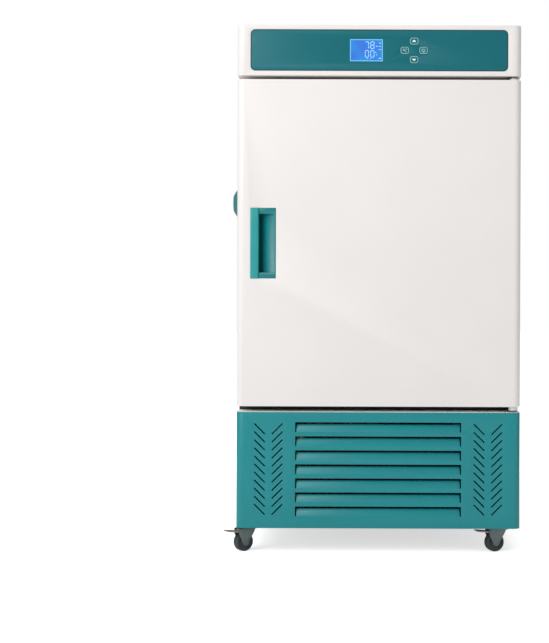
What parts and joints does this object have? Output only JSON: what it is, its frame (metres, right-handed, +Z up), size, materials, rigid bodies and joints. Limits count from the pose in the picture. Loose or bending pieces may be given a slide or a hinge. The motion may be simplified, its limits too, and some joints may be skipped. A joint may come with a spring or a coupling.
{
  "type": "refrigerated incubator",
  "caption": "Free-standing cooled incubator with an insulated door, header controls, louvred cooling base and swivel casters.",
  "frame": {"origin": "on the floor, under the middle of the envelope", "axes": "+Z up, -Y towards the door, +X to the right when facing the door"},
  "size_m": [0.6293, 0.6255, 1.118],
  "materials": {
    "bare_aluminium": "satin",
    "base_teal": "satin powder coat",
    "black_plastic": "satin",
    "black_steel": "satin enamel",
    "board_green": "satin",
    "cabinet_white": "satin powder coat",
    "cap_teal": "satin",
    "copper": "bright copper",
    "cup_teal": "satin",
    "deck_grey": "satin powder coat",
    "door_white": "satin powder coat",
    "foam": "matte",
    "frame_white": "matte",
    "galvanised": "galvanised",
    "handle_teal": "satin",
    "hinge_nylon": "matte",
    "key_teal": "satin",
    "panel_teal": "satin printed film",
    "pedal_metal": "zinc plated",
    "port_white": "satin",
    "seal_grey": "matte",
    "stainless": "brushed",
    "wheel_dark": "matte",
    "window_blue": "lit display",
    "zinc": "zinc plated"
  },
  "bodies": {
    "cabinet": {"base_pan": "galvanised", "base_posts": "galvanised", "base_deck": "deck_grey", "base_front_cover": "base_teal", "base_side_left": "cabinet_white", "base_side_right": "cabinet_white", "base_rear_panel": "galvanised", "foam_core": "foam", "chamber_liner": "stainless", "front_frame": "frame_white", "side_panel_left": "cabinet_white", "side_panel_right": "cabinet_white", "top_panel": "cabinet_white", "back_panel": "cabinet_white", "port_tube": "port_white", "header_cover": "cabinet_white", "control_fascia": "panel_teal", "display_window": "window_blue", "control_board": "board_green", "electronics_tray": "galvanised", "shelf_rails": "stainless", "shelf_lower": "stainless", "shelf_upper": "stainless", "duct_cover": "stainless", "fan_motor": "black_steel", "evaporator": "bare_aluminium", "heater": "stainless", "air_sensor": "zinc", "compressor": "black_steel", "condenser": "black_steel", "fan_shroud": "black_steel", "refrigerant_pipes": "copper", "mains_inlet": "black_plastic", "hinge_brackets": "zinc", "caster_plates": "zinc"},
    "door": {"door_skin": "door_white", "door_foam": "foam", "door_liner": "frame_white", "door_gasket": "seal_grey", "handle_cup": "cup_teal", "door_handle": "handle_teal", "hinge_bushes": "hinge_nylon"},
    "port_cap": {"port_cap": "cap_teal"},
    "chamber_fan": {"chamber_fan": "bare_aluminium"},
    "condenser_fan": {"condenser_fan": "bare_aluminium"},
    "power_rocker": {"power_rocker": "black_plastic"},
    "key_up": {"key_up": "key_teal"},
    "key_down": {"key_down": "key_teal"},
    "key_set": {"key_set": "key_teal"},
    "key_light": {"key_light": "key_teal"},
    "fork_front_left": {"fork_front_left": "zinc"},
    "fork_front_right": {"fork_front_right": "zinc"},
    "fork_rear_left": {"fork_rear_left": "zinc"},
    "fork_rear_right": {"fork_rear_right": "zinc"},
    "wheel_front_left": {"wheel_front_left": "wheel_dark"},
    "wheel_front_right": {"wheel_front_right": "wheel_dark"},
    "wheel_rear_left": {"wheel_rear_left": "wheel_dark"},
    "wheel_rear_right": {"wheel_rear_right": "wheel_dark"},
    "brake_front_left": {"brake_front_left": "pedal_metal"},
    "brake_front_right": {"brake_front_right": "pedal_metal"}
  },
  "joints": [
    {"name": "door_hinge", "type": "hinge", "parent": "cabinet", "child": "door", "pos_m": [0.2985, -0.295, 0.658], "axis": [0, 0, 1], "range_deg": [0, 115]},
    {"name": "key_up_press", "type": "slide", "parent": "cabinet", "child": "key_up", "axis": [0, 1, 0], "range_m": [0, 0.0005], "stiffness_N_per_m": 400},
    {"name": "key_down_press", "type": "slide", "parent": "cabinet", "child": "key_down", "axis": [0, 1, 0], "range_m": [0, 0.0005], "stiffness_N_per_m": 400},
    {"name": "key_set_press", "type": "slide", "parent": "cabinet", "child": "key_set", "axis": [0, 1, 0], "range_m": [0, 0.0005], "stiffness_N_per_m": 400},
    {"name": "key_light_press", "type": "slide", "parent": "cabinet", "child": "key_light", "axis": [0, 1, 0], "range_m": [0, 0.0005], "stiffness_N_per_m": 400},
    {"name": "power_rocker_tilt", "type": "hinge", "parent": "cabinet", "child": "power_rocker", "pos_m": [-0.1865, 0.308, 0.2185], "axis": [1, 0, 0], "range_deg": [-8, 8]},
    {"name": "port_cap_pull", "type": "slide", "parent": "cabinet", "child": "port_cap", "axis": [-1, 0, 0], "range_m": [0, 0.05]},
    {"name": "chamber_fan_spin", "type": "hinge", "parent": "cabinet", "child": "chamber_fan", "pos_m": [0.0135, 0.2197, 0.58146], "axis": [0, 1, 0], "continuous": true},
    {"name": "condenser_fan_spin", "type": "hinge", "parent": "cabinet", "child": "condenser_fan", "pos_m": [0.0135, -0.1598, 0.162], "axis": [0, 1, 0], "continuous": true},
    {"name": "front_left_swivel", "type": "hinge", "parent": "cabinet", "child": "fork_front_left", "pos_m": [-0.2565, -0.252, 0.0492], "axis": [0, 0, 1], "continuous": true},
    {"name": "front_left_roll", "type": "hinge", "parent": "fork_front_left", "child": "wheel_front_left", "pos_m": [-0.27452, -0.26462, 0.02], "axis": [-0.5736, 0.8192, 0], "continuous": true},
    {"name": "front_left_brake", "type": "hinge", "parent": "fork_front_left", "child": "brake_front_left", "pos_m": [-0.28271, -0.27035, 0.043], "axis": [0.5736, -0.8192, 0], "range_deg": [0, 15]},
    {"name": "front_right_swivel", "type": "hinge", "parent": "cabinet", "child": "fork_front_right", "pos_m": [0.2835, -0.252, 0.0492], "axis": [0, 0, 1], "continuous": true},
    {"name": "front_right_roll", "type": "hinge", "parent": "fork_front_right", "child": "wheel_front_right", "pos_m": [0.26283, -0.25952, 0.02], "axis": [-0.342, 0.9397, 0], "continuous": true},
    {"name": "front_right_brake", "type": "hinge", "parent": "fork_front_right", "child": "brake_front_right", "pos_m": [0.25343, -0.26294, 0.043], "axis": [0.342, -0.9397, 0], "range_deg": [0, 15]},
    {"name": "rear_left_swivel", "type": "hinge", "parent": "cabinet", "child": "fork_rear_left", "pos_m": [-0.2565, 0.27, 0.0492], "axis": [0, 0, 1], "continuous": true},
    {"name": "rear_left_roll", "type": "hinge", "parent": "fork_rear_left", "child": "wheel_rear_left", "pos_m": [-0.25268, 0.29167, 0.02], "axis": [0.9848, -0.1736, 0], "continuous": true},
    {"name": "rear_right_swivel", "type": "hinge", "parent": "cabinet", "child": "fork_rear_right", "pos_m": [0.2835, 0.27, 0.0492], "axis": [0, 0, 1], "continuous": true},
    {"name": "rear_right_roll", "type": "hinge", "parent": "fork_rear_right", "child": "wheel_rear_right", "pos_m": [0.27968, 0.29167, 0.02], "axis": [0.9848, 0.1736, 0], "continuous": true}
  ]
}
